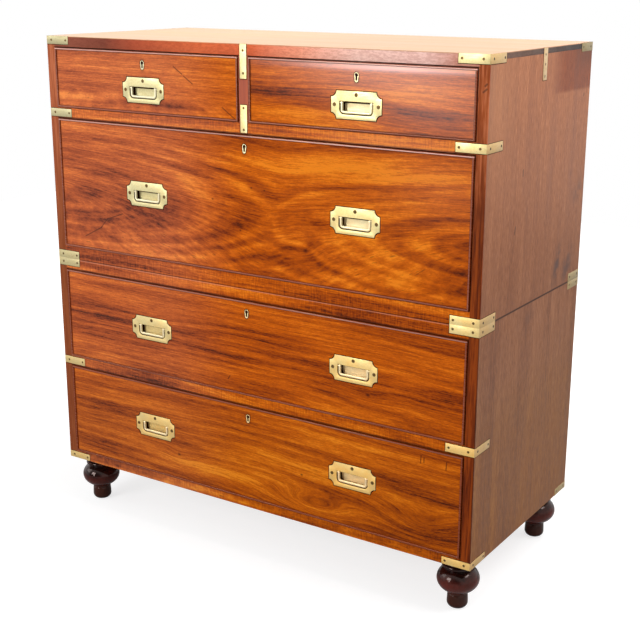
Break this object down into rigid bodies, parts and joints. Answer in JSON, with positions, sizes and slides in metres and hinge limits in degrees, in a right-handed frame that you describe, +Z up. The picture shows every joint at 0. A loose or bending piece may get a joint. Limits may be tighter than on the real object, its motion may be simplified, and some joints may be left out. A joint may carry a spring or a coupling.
{
  "type": "campaign chest",
  "caption": "Two-part wooden campaign chest with brass straps, sunk bail handles, cockbeaded drawers and turned feet; the upper case lifts off the lower one.",
  "frame": {"origin": "on the floor, under the middle of the whole chest's width and depth", "axes": "+Z up, the drawer fronts face -Y, +X to the right of a person who faces the drawers"},
  "size_m": [0.9908, 0.4508, 1.023],
  "materials": {
    "front_wood": "polished orange-red mahogany",
    "case_wood": "waxed pink-brown mahogany with fine straight grain",
    "lining_wood": "bare secondary wood, planed",
    "foot_wood": "dark stained, turned and polished",
    "brass": "old polished brass with light wear"
  },
  "bodies": {
    "lower_case": {"lower_top_board": "front_wood", "lower_left_side": "case_wood", "lower_right_side": "case_wood", "lower_bottom_board": "front_wood", "lower_back_boards": "lining_wood", "lower_drawer_rail": "front_wood", "strap_base_left": "brass", "strap_base_right": "brass", "strap_lower_rail_left": "brass", "strap_lower_rail_right": "brass", "strap_seam_lower_left": "brass", "strap_seam_lower_right": "brass", "front_left_foot": "foot_wood", "front_right_foot": "foot_wood", "rear_left_foot": "foot_wood", "rear_right_foot": "foot_wood"},
    "upper_case": {"upper_top_board": "case_wood", "upper_left_side": "case_wood", "upper_right_side": "case_wood", "upper_bottom_board": "front_wood", "upper_back_boards": "lining_wood", "upper_drawer_rail": "front_wood", "short_drawer_upright": "front_wood", "strap_seam_upper_left": "brass", "strap_seam_upper_right": "brass", "strap_upper_rail_left": "brass", "strap_upper_rail_right": "brass", "strap_top_left": "brass", "strap_top_right": "brass"},
    "short_left_drawer": {"short_left_drawer_front": "front_wood", "short_left_drawer_box": "lining_wood", "short_left_drawer_handle_plate": "brass"},
    "short_right_drawer": {"short_right_drawer_front": "front_wood", "short_right_drawer_box": "lining_wood", "short_right_drawer_handle_plate": "brass"},
    "deep_drawer": {"deep_drawer_front": "front_wood", "deep_drawer_box": "lining_wood", "deep_drawer_left_handle_plate": "brass", "deep_drawer_right_handle_plate": "brass"},
    "middle_drawer": {"middle_drawer_front": "front_wood", "middle_drawer_box": "lining_wood", "middle_drawer_left_handle_plate": "brass", "middle_drawer_right_handle_plate": "brass"},
    "bottom_drawer": {"bottom_drawer_front": "front_wood", "bottom_drawer_box": "lining_wood", "bottom_drawer_left_handle_plate": "brass", "bottom_drawer_right_handle_plate": "brass"},
    "short_left_bail": {"short_left_drawer_handle_bail": "brass"},
    "short_right_bail": {"short_right_drawer_handle_bail": "brass"},
    "deep_left_bail": {"deep_drawer_left_handle_bail": "brass"},
    "deep_right_bail": {"deep_drawer_right_handle_bail": "brass"},
    "middle_left_bail": {"middle_drawer_left_handle_bail": "brass"},
    "middle_right_bail": {"middle_drawer_right_handle_bail": "brass"},
    "bottom_left_bail": {"bottom_drawer_left_handle_bail": "brass"},
    "bottom_right_bail": {"bottom_drawer_right_handle_bail": "brass"},
    "short_left_bolt": {"short_left_drawer_lock_bolt": "brass"},
    "short_right_bolt": {"short_right_drawer_lock_bolt": "brass"},
    "deep_bolt": {"deep_drawer_lock_bolt": "brass"},
    "middle_bolt": {"middle_drawer_lock_bolt": "brass"},
    "bottom_bolt": {"bottom_drawer_lock_bolt": "brass"}
  },
  "joints": [
    {"name": "upper_case_lift", "type": "slide", "parent": "lower_case", "child": "upper_case", "axis": [0, 0, 1], "range_m": [0, 0.3]},
    {"name": "short_left_drawer_slide", "type": "slide", "parent": "upper_case", "child": "short_left_drawer", "axis": [0, -1, 0], "range_m": [0, 0.33]},
    {"name": "short_right_drawer_slide", "type": "slide", "parent": "upper_case", "child": "short_right_drawer", "axis": [0, -1, 0], "range_m": [0, 0.33]},
    {"name": "deep_drawer_slide", "type": "slide", "parent": "upper_case", "child": "deep_drawer", "axis": [0, -1, 0], "range_m": [0, 0.33]},
    {"name": "middle_drawer_slide", "type": "slide", "parent": "lower_case", "child": "middle_drawer", "axis": [0, -1, 0], "range_m": [0, 0.33]},
    {"name": "bottom_drawer_slide", "type": "slide", "parent": "lower_case", "child": "bottom_drawer", "axis": [0, -1, 0], "range_m": [0, 0.33]},
    {"name": "short_left_bail_hinge", "type": "hinge", "parent": "short_left_drawer", "child": "short_left_bail", "pos_m": [-0.24275, -0.22105, 0.9299], "axis": [-1, 0, 0], "range_deg": [0, 90]},
    {"name": "short_right_bail_hinge", "type": "hinge", "parent": "short_right_drawer", "child": "short_right_bail", "pos_m": [0.24275, -0.22105, 0.9299], "axis": [-1, 0, 0], "range_deg": [0, 90]},
    {"name": "deep_left_bail_hinge", "type": "hinge", "parent": "deep_drawer", "child": "deep_left_bail", "pos_m": [-0.24275, -0.22105, 0.7249], "axis": [-1, 0, 0], "range_deg": [0, 90]},
    {"name": "deep_right_bail_hinge", "type": "hinge", "parent": "deep_drawer", "child": "deep_right_bail", "pos_m": [0.24275, -0.22105, 0.7249], "axis": [-1, 0, 0], "range_deg": [0, 90]},
    {"name": "middle_left_bail_hinge", "type": "hinge", "parent": "middle_drawer", "child": "middle_left_bail", "pos_m": [-0.24275, -0.22105, 0.4459], "axis": [-1, 0, 0], "range_deg": [0, 90]},
    {"name": "middle_right_bail_hinge", "type": "hinge", "parent": "middle_drawer", "child": "middle_right_bail", "pos_m": [0.24275, -0.22105, 0.4459], "axis": [-1, 0, 0], "range_deg": [0, 90]},
    {"name": "bottom_left_bail_hinge", "type": "hinge", "parent": "bottom_drawer", "child": "bottom_left_bail", "pos_m": [-0.24275, -0.22105, 0.2319], "axis": [-1, 0, 0], "range_deg": [0, 90]},
    {"name": "bottom_right_bail_hinge", "type": "hinge", "parent": "bottom_drawer", "child": "bottom_right_bail", "pos_m": [0.24275, -0.22105, 0.2319], "axis": [-1, 0, 0], "range_deg": [0, 90]},
    {"name": "short_left_bolt_slide", "type": "slide", "parent": "short_left_drawer", "child": "short_left_bolt", "axis": [0, 0, 1], "range_m": [0, 0.008]},
    {"name": "short_right_bolt_slide", "type": "slide", "parent": "short_right_drawer", "child": "short_right_bolt", "axis": [0, 0, 1], "range_m": [0, 0.008]},
    {"name": "deep_bolt_slide", "type": "slide", "parent": "deep_drawer", "child": "deep_bolt", "axis": [0, 0, 1], "range_m": [0, 0.008]},
    {"name": "middle_bolt_slide", "type": "slide", "parent": "middle_drawer", "child": "middle_bolt", "axis": [0, 0, 1], "range_m": [0, 0.008]},
    {"name": "bottom_bolt_slide", "type": "slide", "parent": "bottom_drawer", "child": "bottom_bolt", "axis": [0, 0, 1], "range_m": [0, 0.008]}
  ]
}
